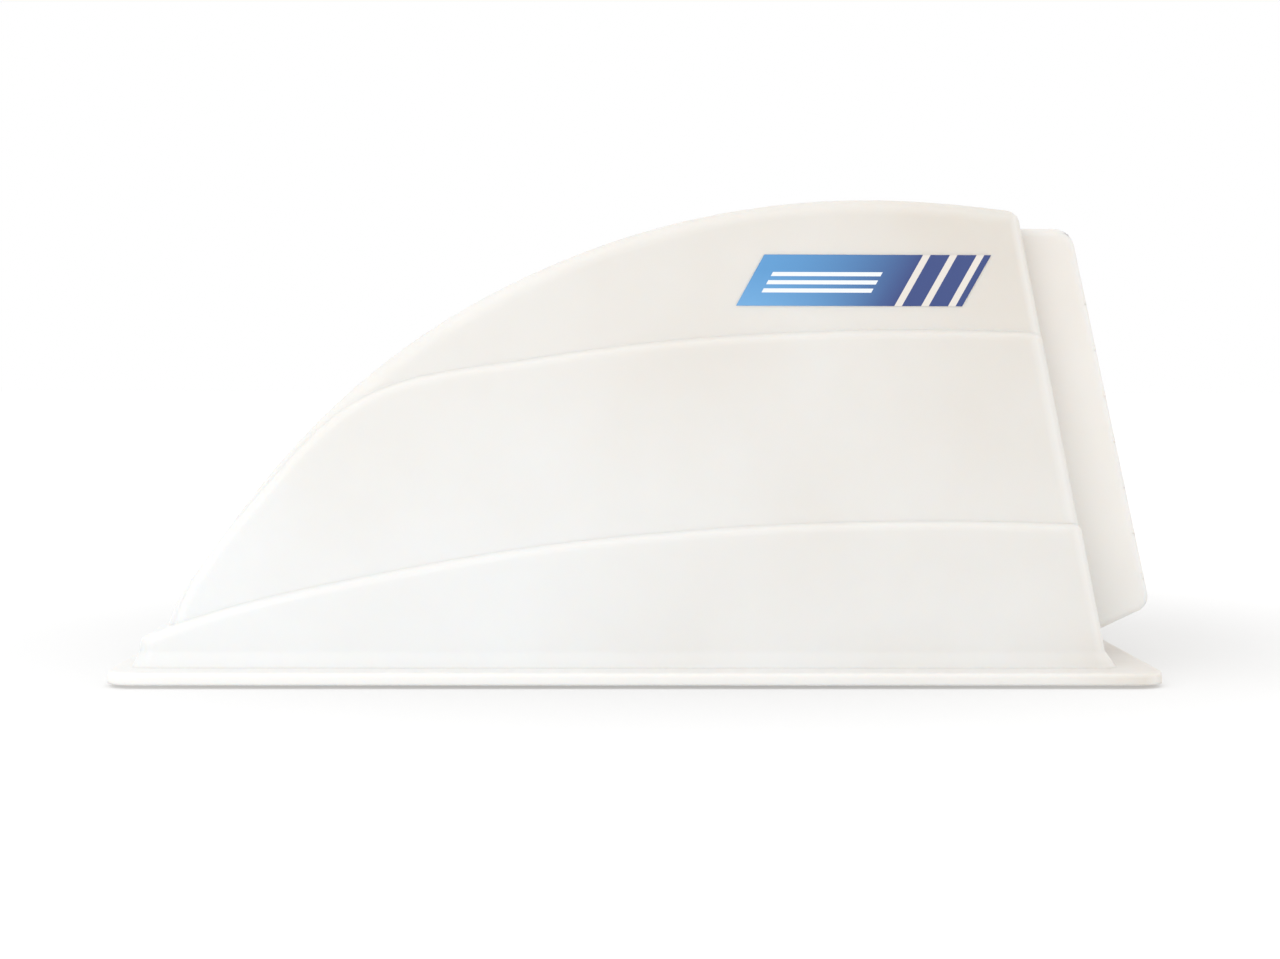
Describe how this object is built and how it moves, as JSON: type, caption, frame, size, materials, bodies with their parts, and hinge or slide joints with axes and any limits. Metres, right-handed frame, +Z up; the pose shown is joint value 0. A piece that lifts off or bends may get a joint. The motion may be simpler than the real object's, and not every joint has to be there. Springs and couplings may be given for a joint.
{
  "type": "rv roof vent cover",
  "caption": "Hinged rain hood for a caravan roof vent, with a curved stepped shell, a louvred rear air outlet, an insect screen and bolt-on curb brackets.",
  "frame": {"origin": "middle of the cover's length and width, on the plane of the brackets' undersides", "axes": "+X towards the louvred rear, +Y to the right when looking forwards from the nose, +Z up"},
  "size_m": [0.5667, 0.474, 0.2608],
  "materials": {
    "hood_plastic": "satin, slightly translucent warm white",
    "housing_plastic": "satin warm white",
    "screen_plastic": "matte",
    "screen_mesh": "woven mesh",
    "bracket_metal": "mill finish",
    "steel": "zinc plated",
    "rubber": "matte",
    "knob_plastic": "textured",
    "decal": "printed vinyl, plain blue gradient"
  },
  "bodies": {
    "curb_mounts": {"front_bracket_left": "bracket_metal", "front_bracket_right": "bracket_metal", "rear_bracket_left": "bracket_metal", "rear_bracket_right": "bracket_metal", "hinge_pins": "steel", "bracket_pads": "rubber"},
    "hood": {"hood_shell": "hood_plastic", "louvre_housing": "housing_plastic", "screen_frame": "screen_plastic", "screen_mesh": "screen_mesh", "rear_panel_screws": "steel", "hinge_leaf_left": "steel", "hinge_leaf_right": "steel", "hinge_screws": "steel", "latch_bolts": "steel", "seal_washers": "rubber", "steel_washers": "steel", "side_decal_left": "decal", "side_decal_right": "decal"},
    "knob_left": {"latch_knob_left": "knob_plastic"},
    "knob_right": {"latch_knob_right": "knob_plastic"}
  },
  "joints": [
    {"name": "hood_hinge", "type": "hinge", "parent": "curb_mounts", "child": "hood", "pos_m": [-0.277, 0, 0.00425], "axis": [0, -1, 0], "range_deg": [0, 85]},
    {"name": "left_knob_turn", "type": "hinge", "parent": "hood", "child": "knob_left", "pos_m": [0.27, -0.075, 0.016], "axis": [1, 0, 0], "continuous": true},
    {"name": "right_knob_turn", "type": "hinge", "parent": "hood", "child": "knob_right", "pos_m": [0.27, 0.075, 0.016], "axis": [1, 0, 0], "continuous": true}
  ]
}
